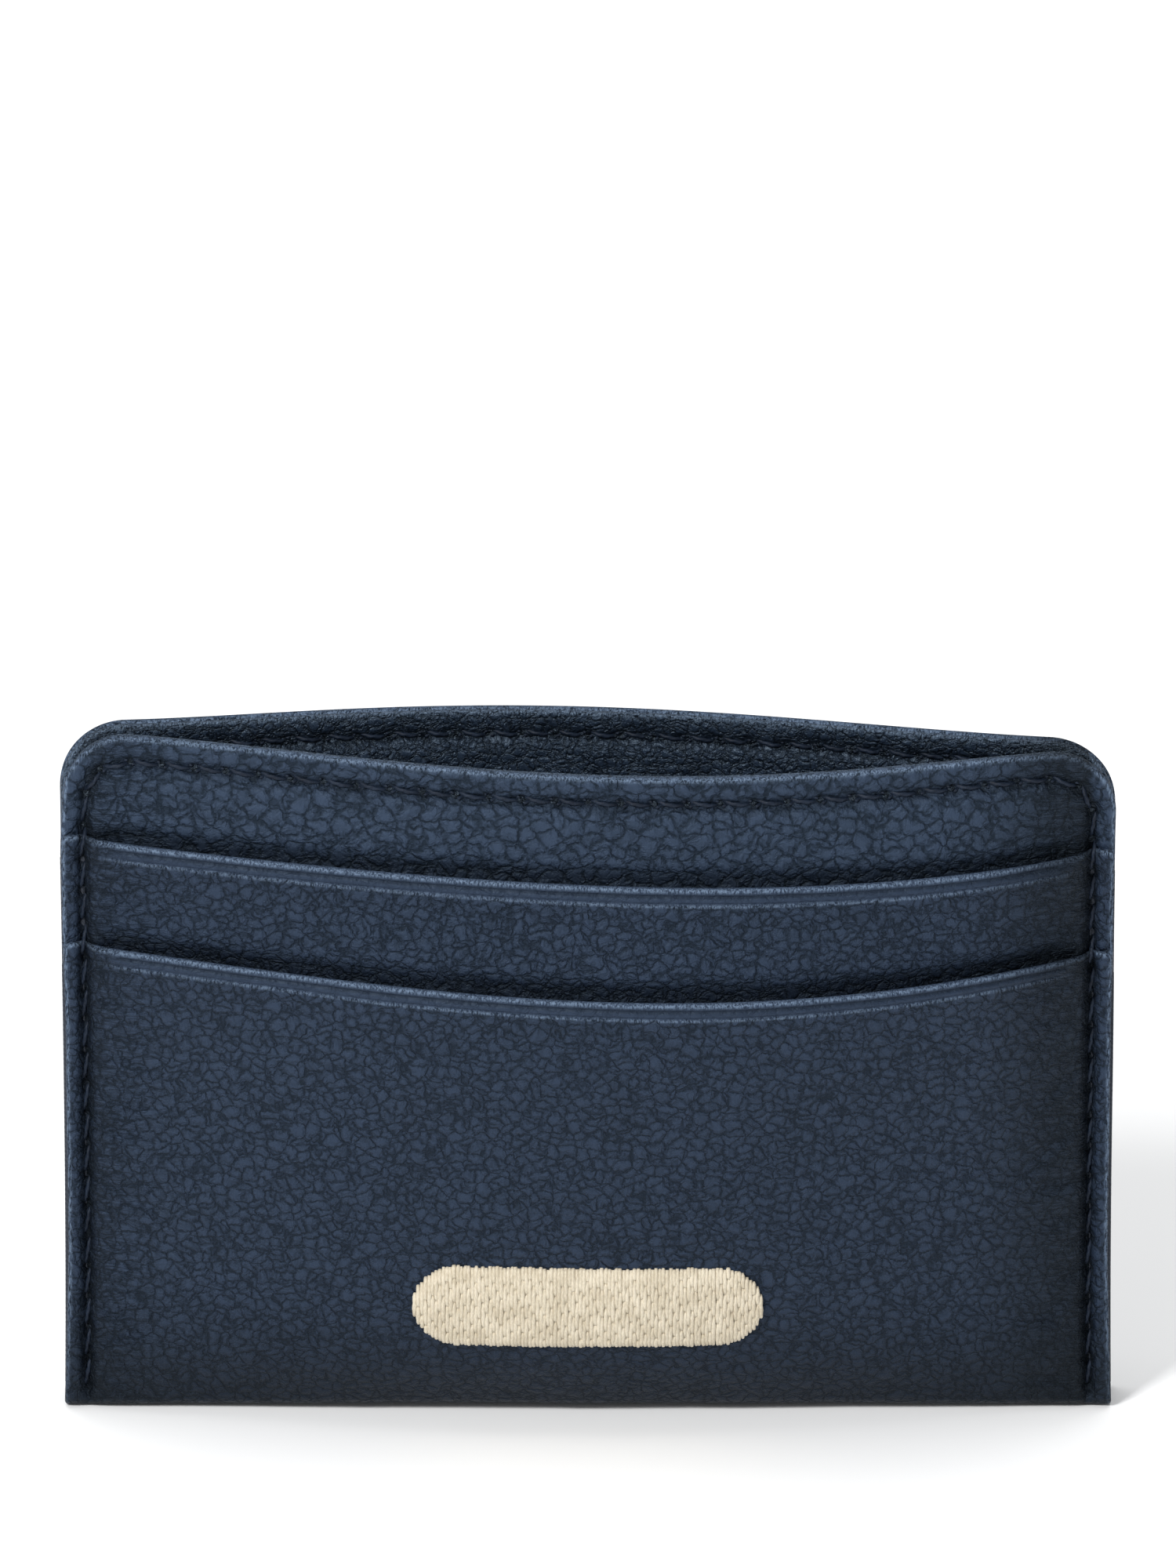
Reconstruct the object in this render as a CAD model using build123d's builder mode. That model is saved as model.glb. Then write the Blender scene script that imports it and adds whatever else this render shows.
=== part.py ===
"""Leather card holder: two card slots on each face and one open pocket in the middle.

The holder stands upright on its bottom fold. X runs along its width, the front faces -Y
and Z is up. The origin is the middle of the bottom fold, on the surface it stands on.

Every sheet of leather, lining or board is a thin shell. At the two side seams the sheets
lie flat on each other; between the seams they bulge away from the middle plane, because
the pocket between them has been stretched open. A sheet is named by its distance from the
middle plane at the seams.
"""

import os

from build123d import *

os.makedirs("parts", exist_ok=True)

# ---------------------------------------------------------------- driving dimensions (mm)
WIDTH = 102.0  # over the two side edges
HEIGHT = 70.0  # top corners of the front and back panels
UPPER_LIP = 59.3  # mouth of the upper slot, at the side seams
LOWER_LIP = 48.4  # mouth of the lower slot, at the side seams
LIP_SAG = 2.0  # how far the middle of each front mouth sits below its ends
BACK_SAG = 0.6  # the same for the back rim, which is pushed outwards and up
SIDE_PULL = 0.5  # the sides are drawn in by the bulge, most at a third of the height
RIM_CORNER = 6.5  # radius of the panels' top corners
SEAM_INSET = 2.2  # side stitches, in from the side edge
RIM_SEAM_INSET = 2.7  # rim stitches, down from the rim
SEAM_BASE = 2.0  # lowest side stitch starts here

# Height, then how far the front and the back bulge at mid-width.
STATIONS = (
    (0.0, 1.2, 1.2),
    (8.0, 4.3, 3.9),
    (24.0, 7.3, 6.3),
    (48.0, 7.7, 7.1),
    (72.0, 3.1, 6.3),
)
TWIST = 2.5  # the top right corner leans forwards by this much, the top left one back

# Thickness of each layer, counted from the middle plane outwards.
SHEET_GAP = 0.05
LAYERS = (
    ("centre_lining", 0.35),
    ("stiffener", 0.20),
    ("panel", 0.55),
    ("upper_slot_lining", 0.12),
    ("upper_pocket", 0.55),
    ("lower_slot_lining", 0.12),
    ("embroidery_backing", 0.12),
    ("lower_pocket", 0.60),
)

TAB_HALF_WIDTH = 46.0  # the hidden stem of an upper pocket, clear of the side seams
TAB_SHOULDER = 43.5  # where the stem starts, hidden behind the lower pocket
TAB_BASE = 10.0  # lower edge of the upper pockets
SLOT_BASE_SEAM = 12.0  # row of stitches that closes the bottom of an upper slot
TURNED_EDGE = 1.5  # linings stop this far below a turned leather edge
FOLD_THICKNESS = 0.6  # leather across the bottom
LINING_BASE = 0.9  # linings start just above the bottom fold

THREAD = 0.55  # diameter of the seam thread
STITCH_PITCH = 3.2
STITCH_LENGTH = 2.5
STITCH_LIFT = 0.1  # seam threads lie this far off the leather
BASE_GROOVE = 0.42  # the slot-base seam lies in a skived groove, this deep
BASE_THREAD = 0.18  # its thread is pressed flat to this

PATCH_WIDTH = 34.0  # plain embroidered bar on the lower front pocket
PATCH_HEIGHT = 9.0
PATCH_CENTRE = 13.5
PATCH_THICKNESS = 0.6
BACKING_BORDER = 1.5

FRONT = -1
BACK = 1


# ---------------------------------------------------------------- shared shape
def layer_stack():
    """Inner and outer distance of every layer from the middle plane at the seams."""
    stack = {}
    inner = SHEET_GAP
    for name, thickness in LAYERS:
        stack[name] = (inner, inner + thickness)
        inner += thickness + SHEET_GAP
    return stack


STACK = layer_stack()
HALF_WIDTH = WIDTH / 2
SEAM_X = HALF_WIDTH - SEAM_INSET


def lean(x, z):
    """How far the holder's twist carries a point along Y."""
    return -TWIST * (x / HALF_WIDTH) * (z / HEIGHT) ** 2


def sheet_sections(side, inner, outer):
    """Closed cross-sections of one sheet, one for each station, ready to loft."""
    sections = []
    for z, *bulges in STATIONS:
        bulge = bulges[0] if side == FRONT else bulges[1]
        with BuildSketch(Plane.XY.offset(z)) as section:
            with BuildLine():
                for distance in (inner, outer):
                    points = [
                        (x, side * (distance + rise) + lean(x, z))
                        for x, rise in (
                            (-HALF_WIDTH - 1, 0),
                            (-SEAM_X, 0),
                            (0, bulge),
                            (SEAM_X, 0),
                            (HALF_WIDTH + 1, 0),
                        )
                    ]
                    Line(points[0], points[1])
                    ThreePointArc(*points[1:4])
                    Line(points[3], points[4])
                for x in (-HALF_WIDTH - 1, HALF_WIDTH + 1):
                    Line((x, side * inner + lean(x, z)), (x, side * outer + lean(x, z)))
            make_face()
        sections.append(section.sketch)
    return sections


def outline(base, top, sag, half_width, corner=0.0):
    """Front view of a sheet: sides drawn in slightly and a top edge that sags."""
    pull = SIDE_PULL * top / HEIGHT
    middle = (base + top) / 3
    with BuildSketch(Plane.XZ) as shape:
        with BuildLine():
            Line((-half_width, base), (half_width, base))
            ThreePointArc((half_width, base), (half_width - pull, middle), (half_width, top))
            ThreePointArc((half_width, top), (0, top - sag), (-half_width, top))
            ThreePointArc((-half_width, top), (pull - half_width, middle), (-half_width, base))
        make_face()
        if corner:
            fillet(shape.vertices().group_by(Axis.Z)[-1], corner)
    return shape.sketch


def pocket_outline(top_trim, side_trim):
    """Front view of an upper pocket: full width at its mouth, a narrower stem below."""
    top = UPPER_LIP - top_trim
    shoulder = HALF_WIDTH - side_trim
    stem = TAB_HALF_WIDTH - side_trim
    base = TAB_BASE + side_trim
    with BuildSketch(Plane.XZ) as shape:
        with BuildLine():
            ThreePointArc((-shoulder, top), (0, top - LIP_SAG), (shoulder, top))
            Polyline(
                (shoulder, top),
                (shoulder, TAB_SHOULDER),
                (stem, TAB_SHOULDER),
                (stem, base),
                (-stem, base),
                (-stem, TAB_SHOULDER),
                (-shoulder, TAB_SHOULDER),
                (-shoulder, top),
            )
        make_face()
    return shape.sketch


def stitch_planes(side, path, y_at):
    """A plane at the middle of each stitch of a seam: X along it, Z out of the leather."""
    count = int(path.length / STITCH_PITCH)
    first = (path.length - (count - 1) * STITCH_PITCH) / 2
    planes = []
    for index in range(count):
        ends = []
        for reach in (-STITCH_LENGTH / 2, STITCH_LENGTH / 2):
            along = first + index * STITCH_PITCH + reach
            ends.append(path.position_at(along, position_mode=PositionMode.LENGTH))
        foot = min(ends[0].Z, ends[1].Z)
        start, stop = [Vector(end.X, y_at(end.X, end.Z, foot), end.Z) for end in ends]
        along_seam = stop - start
        across_seam = along_seam.cross(Vector(0, side, 0))
        planes.append(Plane((start + stop) / 2, along_seam, across_seam.cross(along_seam)))
    return planes


def side_seam_y(side):
    """Y of a side stitch, which lies flat on the outermost layer that its foot meets."""

    def y_at(x, z, foot):
        if foot < LOWER_LIP + STITCH_LIFT:
            layer = "lower_pocket"
        elif foot < UPPER_LIP + STITCH_LIFT:
            layer = "upper_pocket"
        else:
            layer = "panel"
        return side * (STACK[layer][1] + THREAD / 2 + STITCH_LIFT) + lean(x, z)

    return y_at


def face_seam_y(side, piece, lift):
    """Y of a stitch that is lifted off the outer face of a bulged piece."""

    def y_at(x, z, _):
        ray = Axis((x, side * WIDTH, z), (0, -side, 0))
        hits = [side * point.Y for point, _ in piece.find_intersection_points(ray)]
        return side * (max(hits) + lift)

    return y_at


def side_path(hand):
    """Line of the side seam, from the lowest stitch to where the corner turn begins."""
    with BuildLine(Plane.XZ) as path:
        Line((hand * SEAM_X, SEAM_BASE), (hand * SEAM_X, HEIGHT - RIM_CORNER))
    return path.wire()


def rim_path(sag):
    """Line of the rim seam: it follows the rim and both rounded corners."""
    corner = RIM_CORNER - SEAM_INSET
    top = HEIGHT - RIM_SEAM_INSET
    with BuildLine(Plane.XZ) as path:
        left = RadiusArc((-SEAM_X, top - corner), (corner - SEAM_X, top - 0.2), corner)
        right = RadiusArc((SEAM_X - corner, top - 0.2), (SEAM_X, top - corner), corner)
        ThreePointArc(left @ 1, (0, top - sag), right @ 0)
    return path.wire()


# ---------------------------------------------------------------- central pocket and panels
for side, face_name, rim_sag in ((FRONT, "front", LIP_SAG), (BACK, "back", BACK_SAG)):
    lining_edge = HEIGHT - TURNED_EDGE / 2
    board_edge = HEIGHT - RIM_SEAM_INSET - THREAD

    with BuildPart() as centre_lining:
        loft(sheet_sections(side, *STACK["centre_lining"]))
        trim = outline(LINING_BASE, lining_edge, rim_sag, HALF_WIDTH - 0.4, RIM_CORNER)
        extrude(trim, amount=WIDTH, both=True, mode=Mode.INTERSECT)
    centre_lining.part.label = f"{face_name}_centre_lining"
    export_step(centre_lining.part, f"parts/{face_name}_centre_lining.step")

    with BuildPart() as stiffener:
        loft(sheet_sections(side, *STACK["stiffener"]))
        trim = outline(LINING_BASE + 2, board_edge, rim_sag, TAB_HALF_WIDTH, RIM_CORNER)
        extrude(trim, amount=WIDTH, both=True, mode=Mode.INTERSECT)
    stiffener.part.label = f"{face_name}_panel_stiffener"
    export_step(stiffener.part, f"parts/{face_name}_panel_stiffener.step")

    with BuildPart() as panel:
        loft(sheet_sections(side, *STACK["panel"]))
        trim = outline(LINING_BASE, HEIGHT, rim_sag, HALF_WIDTH, RIM_CORNER)
        extrude(trim, amount=WIDTH, both=True, mode=Mode.INTERSECT)
    panel.part.label = f"{face_name}_panel"
    export_step(panel.part, f"parts/{face_name}_panel.step")

    with BuildPart() as rim_stitching:
        rim_y = face_seam_y(side, panel.part, THREAD / 2 + STITCH_LIFT)
        with Locations(*stitch_planes(side, rim_path(rim_sag), rim_y)):
            Cylinder(THREAD / 2, STITCH_LENGTH, rotation=(0, 90, 0))
    rim_stitching.part.label = f"{face_name}_rim_stitching"
    export_step(rim_stitching.part, f"parts/{face_name}_rim_stitching.step")

# ---------------------------------------------------------------- upper card slots
for side, face_name in ((FRONT, "front"), (BACK, "back")):
    upper_inner, upper_outer = STACK["upper_pocket"]

    with BuildPart() as slot_lining:
        loft(sheet_sections(side, *STACK["upper_slot_lining"]))
        trim = pocket_outline(TURNED_EDGE, 0.5)
        extrude(trim, amount=WIDTH, both=True, mode=Mode.INTERSECT)
    slot_lining.part.label = f"{face_name}_upper_slot_lining"
    export_step(slot_lining.part, f"parts/{face_name}_upper_slot_lining.step")

    with BuildLine(Plane.XZ) as base_seam:
        Line((2 - TAB_HALF_WIDTH, SLOT_BASE_SEAM), (TAB_HALF_WIDTH - 2, SLOT_BASE_SEAM))

    with BuildPart(mode=Mode.PRIVATE) as groove:
        loft(sheet_sections(side, upper_outer - BASE_GROOVE, upper_outer + SHEET_GAP))
        with BuildSketch(Plane.XZ) as groove_strip:
            with Locations((0, SLOT_BASE_SEAM)):
                Rectangle(2 * TAB_HALF_WIDTH - 2, 2 * THREAD)
        extrude(amount=WIDTH, both=True, mode=Mode.INTERSECT)

    with BuildPart() as upper_pocket:
        loft(sheet_sections(side, upper_inner, upper_outer))
        extrude(pocket_outline(0, 0), amount=WIDTH, both=True, mode=Mode.INTERSECT)
        add(groove.part, mode=Mode.SUBTRACT)
    upper_pocket.part.label = f"{face_name}_upper_pocket"
    export_step(upper_pocket.part, f"parts/{face_name}_upper_pocket.step")

    with BuildPart() as base_stitching:
        groove_y = face_seam_y(side, upper_pocket.part, BASE_THREAD / 2 + STITCH_LIFT)
        with Locations(*stitch_planes(side, base_seam.wire(), groove_y)):
            Box(STITCH_LENGTH, THREAD, BASE_THREAD)
    base_stitching.part.label = f"{face_name}_slot_base_stitching"
    export_step(base_stitching.part, f"parts/{face_name}_slot_base_stitching.step")

    with BuildPart() as lower_lining:
        loft(sheet_sections(side, *STACK["lower_slot_lining"]))
        trim = outline(LINING_BASE, LOWER_LIP - TURNED_EDGE, LIP_SAG, HALF_WIDTH - 0.5)
        extrude(trim, amount=WIDTH, both=True, mode=Mode.INTERSECT)
    lower_lining.part.label = f"{face_name}_lower_slot_lining"
    export_step(lower_lining.part, f"parts/{face_name}_lower_slot_lining.step")

# ---------------------------------------------------------------- lower pockets, one wrap
wrap_inner, wrap_outer = STACK["lower_pocket"]
with BuildPart() as lower_wrap:
    loft(sheet_sections(FRONT, wrap_inner, wrap_outer))
    loft(sheet_sections(BACK, wrap_inner, wrap_outer))
    trim = outline(0, LOWER_LIP, LIP_SAG, HALF_WIDTH)
    extrude(trim, amount=WIDTH, both=True, mode=Mode.INTERSECT)
    with BuildSketch(Plane.XY) as fold:
        Rectangle(WIDTH - 0.02, 2 * wrap_outer - 0.02)
    extrude(amount=FOLD_THICKNESS)
lower_wrap.part.label = "lower_pocket_wrap"
export_step(lower_wrap.part, "parts/lower_pocket_wrap.step")

# ---------------------------------------------------------------- side seams
for hand, hand_name in ((-1, "left"), (1, "right")):
    seam_planes = stitch_planes(FRONT, side_path(hand), side_seam_y(FRONT))
    seam_planes += stitch_planes(BACK, side_path(hand), side_seam_y(BACK))
    with BuildPart() as side_stitching:
        with Locations(*seam_planes):
            Cylinder(THREAD / 2, STITCH_LENGTH, rotation=(0, 90, 0))
    side_stitching.part.label = f"{hand_name}_side_stitching"
    export_step(side_stitching.part, f"parts/{hand_name}_side_stitching.step")

# ---------------------------------------------------------------- embroidered bar
with BuildPart() as backing:
    loft(sheet_sections(FRONT, *STACK["embroidery_backing"]))
    with BuildSketch(Plane.XZ):
        with Locations((0, PATCH_CENTRE)):
            RectangleRounded(
                PATCH_WIDTH + 2 * BACKING_BORDER,
                PATCH_HEIGHT + 2 * BACKING_BORDER,
                PATCH_HEIGHT / 2,
            )
    extrude(amount=WIDTH, both=True, mode=Mode.INTERSECT)
backing.part.label = "embroidery_backing"
export_step(backing.part, "parts/embroidery_backing.step")

with BuildPart() as embroidery:
    loft(sheet_sections(FRONT, wrap_outer + SHEET_GAP, wrap_outer + PATCH_THICKNESS))
    with BuildSketch(Plane.XZ):
        with Locations((0, PATCH_CENTRE)):
            SlotOverall(PATCH_WIDTH, PATCH_HEIGHT)
    extrude(amount=WIDTH, both=True, mode=Mode.INTERSECT)
embroidery.part.label = "embroidered_bar"
export_step(embroidery.part, "parts/embroidered_bar.step")
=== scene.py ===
"""Looks of the leather card holder: creased leather sheets, seams, embroidery, light, camera.

Shapes are worked out in millimetres. X runs along the width, the front faces -Y, Z is up.
Each sheet has a place in the stack at the side seams, given as a distance from the middle
plane; between the seams all sheets of one side bulge outwards together.
"""

import math
from dataclasses import dataclass

import bmesh
import bpy
import numpy as np
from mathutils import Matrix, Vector


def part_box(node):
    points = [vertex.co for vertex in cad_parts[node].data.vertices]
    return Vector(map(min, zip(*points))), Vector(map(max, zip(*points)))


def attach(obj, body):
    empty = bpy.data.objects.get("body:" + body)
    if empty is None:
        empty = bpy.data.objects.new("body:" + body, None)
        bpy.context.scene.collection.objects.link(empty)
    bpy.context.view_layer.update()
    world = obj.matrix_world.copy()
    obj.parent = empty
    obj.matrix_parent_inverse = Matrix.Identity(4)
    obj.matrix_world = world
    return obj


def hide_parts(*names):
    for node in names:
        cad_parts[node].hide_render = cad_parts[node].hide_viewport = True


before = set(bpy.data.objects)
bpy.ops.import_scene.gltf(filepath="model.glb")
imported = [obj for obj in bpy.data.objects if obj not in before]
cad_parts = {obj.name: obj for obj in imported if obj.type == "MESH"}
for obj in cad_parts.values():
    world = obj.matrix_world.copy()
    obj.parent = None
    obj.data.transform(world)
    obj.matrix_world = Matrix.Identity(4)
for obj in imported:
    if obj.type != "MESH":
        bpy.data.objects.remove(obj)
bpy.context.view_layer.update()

MM = 0.001
FRONT = -1
BACK = 1
SIDES = {"front": FRONT, "back": BACK}


def top_of(node):
    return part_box(node)[1].z / MM


# ------------------------------------------------------------------ sizes (mm)
HALF_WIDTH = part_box("lower_pocket_wrap")[1].x / MM
LOWER_LIP = top_of("lower_pocket_wrap")
UPPER_LIP = top_of("front_upper_pocket") - 0.4
RIM = top_of("back_panel") - 0.8
RIM_CORNER = 6.5
LIP_SAG = 2.0
BACK_SAG = 0.2
TWIST = 2.5
SIDE_PULL = 0.5

SEAM_INSET = 2.2
RIM_SEAM_INSET = 2.65
SEAM_BASE = 1.9
STITCH_PITCH = 3.2
SIDE_HOLES = 20
SEAM_X = HALF_WIDTH - SEAM_INSET
RIM_STITCHES = 28
RIM_PITCH = 2 * (HALF_WIDTH - RIM_CORNER) / RIM_STITCHES

SQUEEZE = 0.21  # share of the stack pressed flat by the side seams
PUFF = 0.75  # swelling of the whole stack inside them
PUFF_REACH = 1.7
GAPE_REACH = 7
FOLD_RADIUS = 1.25
MOUTH_DIP = 0.7
MOUTH_DIP_HEIGHT = 2.0
SPLAY = {FRONT: 0.4, BACK: 0.9}
CORNER_SHIFT = 0.5
RIGHT_PULL = 0.2
UNEVEN_CUT = 0.07

# Relief of the leather, as heights and depths.
SEAM_VALLEY = 0.26
SEAM_BEAD = 0.10
RIM_VALLEY = 0.12
RIM_PUFF = 0.30
HOLE_PIT = 0.34
HOLE_HOLLOW = 0.16
PUCKER = 0.18
PUCKER_INSET = 1.15
WAVES = 0.10
SMALL_WAVES = 0.05
LIP_GROOVES = ((0.78, 0.18, 0.17), (1.48, 0.14, 0.13))  # place below the edge, depth, width
LIP_RIDGE = 1.68

# Painted shade: shares of the colour taken away near the right and left seams, at the bottom fold
# and just above the mouths, and how far each reaches.
RIGHT_PAINTED_SHADE, RIGHT_REACH = 0.68, 16
LEFT_PAINTED_SHADE, LEFT_REACH = 0.20, 6
FOLD_PAINTED_SHADE, FOLD_REACH = 0.78, 16
MOUTH_PAINTED_SHADE, MOUTH_REACH = 0.6, 1.9

# Bulge at mid-width for a few heights, and how it spreads over the width there:
# a higher power gathers it in the middle, a skew moves its peak to the right.
HEIGHTS = np.array([0.0, 3.0, 8.0, 17.0, 30.0, 44.0, 59.0, 72.0])
BULGE = {
    FRONT: np.array([0.2, 1.8, 4.1, 6.5, 7.8, 8.0, 4.7, 3.2]),
    BACK: np.array([0.2, 1.6, 3.7, 5.6, 6.8, 7.3, 6.8, 6.3]),
}
POWER = {
    FRONT: np.array([1.1, 1.1, 1.1, 1.15, 1.2, 1.2, 0.95, 1.8]),
    BACK: np.array([1.1, 1.1, 1.1, 1.15, 1.2, 1.3, 1.5, 1.9]),
}
SKEW = {
    FRONT: np.array([0.0, 0.0, 0.02, 0.04, 0.08, 0.12, 0.18, 0.05]),
    BACK: np.array([0.0, 0.0, 0.0, 0.0, 0.0, -0.02, -0.05, -0.07]),
}


@dataclass(frozen=True)
class Sheet:
    """One upright sheet: its place in the stack, half thickness and upper edge."""
    middle: float
    half: float
    top: float
    level: int = 0  # mouths that it lies in front of
    corner: float = 0.8
    bottom: float = 1.3
    facing: int = 1  # 1 when the outer skin shows, -1 when the inner one does
    swell: float = 1.0  # how much thicker the upper edge is
    gape: float = 0.0  # how far the upper edge stands off
    narrow: float = 0.0  # drawn in at the sides
    cover: float = 0.0  # height of the mouth in front, hidden below it
    lip: bool = False
    sewn: bool = True
    seed: int = 0


LINING = Sheet(0.30, 0.22, RIM - 0.15, corner=RIM_CORNER, facing=-1, narrow=0.12, seed=1)
STIFFENER = Sheet(0.66, 0.06, RIM - 4.6, corner=3.0, narrow=3.6, sewn=False, bottom=4.0)
PANEL = Sheet(1.02, 0.28, RIM, corner=RIM_CORNER, swell=1.55, cover=UPPER_LIP, seed=2)
UPPER_SLOT_LINING = Sheet(1.42, 0.05, UPPER_LIP - 1.7, level=1, bottom=10.5, sewn=False)
UPPER_POCKET = Sheet(1.82, 0.28, UPPER_LIP, level=1, bottom=10.0, swell=1.5, gape=0.55,
                     narrow=0.1, cover=LOWER_LIP, lip=True, seed=3)
LOWER_SLOT_LINING = Sheet(2.19, 0.05, LOWER_LIP - 1.7, level=2, bottom=2.6, sewn=False)
WRAP = Sheet(2.64, 0.28, LOWER_LIP, level=2, swell=1.5, gape=0.7, narrow=0.25, lip=True,
             bottom=-9.0, seed=4)


# ------------------------------------------------------------------ smooth helpers
def through(z, values):
    """A smooth curve through the values given at HEIGHTS."""
    slopes = np.gradient(values, HEIGHTS)
    z = np.clip(z, HEIGHTS[0], HEIGHTS[-1])
    i = np.clip(np.searchsorted(HEIGHTS, z) - 1, 0, len(HEIGHTS) - 2)
    step = HEIGHTS[i + 1] - HEIGHTS[i]
    t = (z - HEIGHTS[i]) / step
    return (
        (2 * t**3 - 3 * t**2 + 1) * values[i]
        + (t**3 - 2 * t**2 + t) * step * slopes[i]
        + (3 * t**2 - 2 * t**3) * values[i + 1]
        + (t**3 - t**2) * step * slopes[i + 1]
    )


def ease(value, low, high):
    """0 below low, 1 above high, smooth between."""
    t = np.clip((value - low) / (high - low), 0, 1)
    return t * t * (3 - 2 * t)


def hill(value, centre, width):
    return np.exp(-(((value - centre) / width) ** 2))


def unit(vectors):
    return vectors / np.linalg.norm(vectors, axis=-1, keepdims=True)


LATTICE = np.random.default_rng(11).random((64, 64))


def ripple(u, v, layer=0):
    """Soft noise from -1 to 1 with a cell of one unit."""
    u = u + 17.3 * layer + 200
    v = v + 9.1 * layer + 200
    i = np.floor(u).astype(int)
    j = np.floor(v).astype(int)
    s = u - i
    t = v - j
    s = s * s * (3 - 2 * s)
    t = t * t * (3 - 2 * t)
    low = LATTICE[i % 64, j % 64] * (1 - s) + LATTICE[(i + 1) % 64, j % 64] * s
    high = LATTICE[i % 64, (j + 1) % 64] * (1 - s) + LATTICE[(i + 1) % 64, (j + 1) % 64] * s
    return 2 * (low * (1 - t) + high * t) - 1


# ------------------------------------------------------------------ shape of the holder
def bulge(side, x, z):
    """How far the sheets of one side are pushed out from their place at the seams."""
    u = np.clip(x / SEAM_X, -1, 1)
    shifted = u - through(z, SKEW[side]) * (1 - u * u)
    return through(z, BULGE[side]) * np.maximum(0, 1 - shifted**2) ** through(z, POWER[side])


def lean(x, z):
    return -TWIST * (x / HALF_WIDTH) * (z / RIM) ** 2


def top_line(side, top, x):
    """Height of a mouth or rim: highest at the side seams, lowest where it bulges most."""
    sag = LIP_SAG if side == FRONT else BACK_SAG
    middle = bulge(side, np.array(4.0), np.array(top))
    return top - sag * bulge(side, x, np.full_like(x, top)) / middle


def base_line(x):
    """The bottom fold arches up a little between its ends."""
    u = np.clip(x / SEAM_X, -1, 1)
    return 0.06 + 0.45 * (1 - u * u) ** 1.2


def side_scale(z):
    """The sides are drawn in, most where the holder bulges most."""
    waist = np.sin(math.pi * np.clip(z / RIM, 0, 1) ** 0.8)
    return 1 - SIDE_PULL / HALF_WIDTH * (0.45 + 0.55 * waist)


def dips(side, level, x, z):
    """Sheets behind a mouth lie a little deeper just above it."""
    depth = np.zeros_like(x)
    for mouth, lip in ((1, LOWER_LIP), (0, UPPER_LIP)):
        if level <= mouth:
            over = z - top_line(side, lip, x)
            inside = ease(HALF_WIDTH - np.abs(x), 2.6, 6.0)
            above = 1 - ease(over, 0.0, MOUTH_DIP_HEIGHT)
            depth = depth - MOUTH_DIP * inside * above * ease(over, -14, -2)
    return depth


def edge_gap(x, depth, corner):
    """Distance from the outline: straight sides, straight top and round top corners."""
    a = corner - (HALF_WIDTH - np.abs(x))
    b = corner - depth
    return np.where((a > 0) & (b > 0), corner - np.hypot(a, b), corner - np.maximum(a, b))


def seam_holes(side):
    """Needle holes of one side as x, z: both side seams, the corners and the rim."""
    rise = SEAM_BASE + STITCH_PITCH * np.arange(SIDE_HOLES)
    corner = HALF_WIDTH - RIM_CORNER
    reach = (RIM_CORNER - (SEAM_INSET + RIM_SEAM_INSET) / 2) * math.sqrt(0.5)
    rim_x = -corner + RIM_PITCH * np.arange(RIM_STITCHES + 1)
    turn_x = np.array([-corner - reach])
    turn_z = top_line(side, RIM, turn_x) - RIM_CORNER + reach
    left = np.stack([np.full(SIDE_HOLES, -SEAM_X), rise], 1)
    turn = np.stack([turn_x, turn_z], 1)
    rim = np.stack([rim_x, top_line(side, RIM, rim_x) - RIM_SEAM_INSET], 1)
    mirror = np.array([-1, 1])
    return np.concatenate([left, turn, rim, turn * mirror, left[::-1] * mirror])


def pucker_spots(holes):
    """Points just inside each stitch, where the drawn leather stands up."""
    run = unit(np.diff(holes, axis=0))
    return (holes[:-1] + holes[1:]) / 2 + PUCKER_INSET * np.stack([run[:, 1], -run[:, 0]], 1)


def nearest(spots, x, z):
    """Distance from each point to the nearest of the spots."""
    best = np.full(np.shape(x), 9999.0)
    for spot_x, spot_z in spots:
        best = np.minimum(best, (x - spot_x) ** 2 + (z - spot_z) ** 2)
    return np.sqrt(best)


HOLES = {side: seam_holes(side) for side in (FRONT, BACK)}
PUCKERS = {side: pucker_spots(HOLES[side]) for side in (FRONT, BACK)}

# A wrinkle is its start x and z, way along x, angle, length, depth and width.
RIM_FOLDS = [(-4.5, 65.5, 1, -1.45, 6.5, 0.20, 0.5), (18.5, 65.5, 1, -1.7, 6.5, 0.24, 0.55)]


def crease_set(seed):
    """Wrinkles that start at both side seams, and short ones anywhere."""
    rng = np.random.default_rng(seed)
    found = []
    for sign in (-1, 1):
        for z in np.arange(4.0, 66.0, 4.2):
            found.append((sign * (SEAM_X - rng.uniform(0.6, 1.6)), z + rng.uniform(-1.6, 1.6),
                          -sign, rng.uniform(-0.75, 0.35), rng.uniform(3.0, 9.5),
                          rng.uniform(0.12, 0.32), rng.uniform(0.35, 0.75)))
    for _ in range(26):
        found.append((rng.uniform(-44, 44), rng.uniform(4, 66), rng.choice((-1, 1)),
                      rng.uniform(-1.3, 1.3), rng.uniform(3, 8), rng.uniform(0.05, 0.13),
                      rng.uniform(0.4, 0.8)))
    return found


def creases(sheet, side, x, z):
    """Depth of all wrinkles of a sheet, each with a low ridge along one side."""
    depth = np.zeros_like(x)
    wobble = 0.45 * ripple(x / 2.4, z / 2.4, 8 + sheet.seed)
    found = crease_set(10 * sheet.seed + side)
    if sheet is PANEL and side == FRONT:
        found = found + RIM_FOLDS
    for start, level, way, angle, length, deep, wide in found:
        along_x = way * math.cos(angle)
        along_z = math.sin(angle)
        s = (x - start) * along_x + (z - level) * along_z
        off = (z - level) * along_x - (x - start) * along_z + wobble
        t = np.clip(s / length, 0, 1)
        taper = np.sqrt(t * (1 - t)) * 2 * (1 - 0.4 * t)
        depth = depth + deep * taper * (hill(off, 0, wide) - 0.45 * hill(off, wide * 1.7, wide))
    return depth


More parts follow.
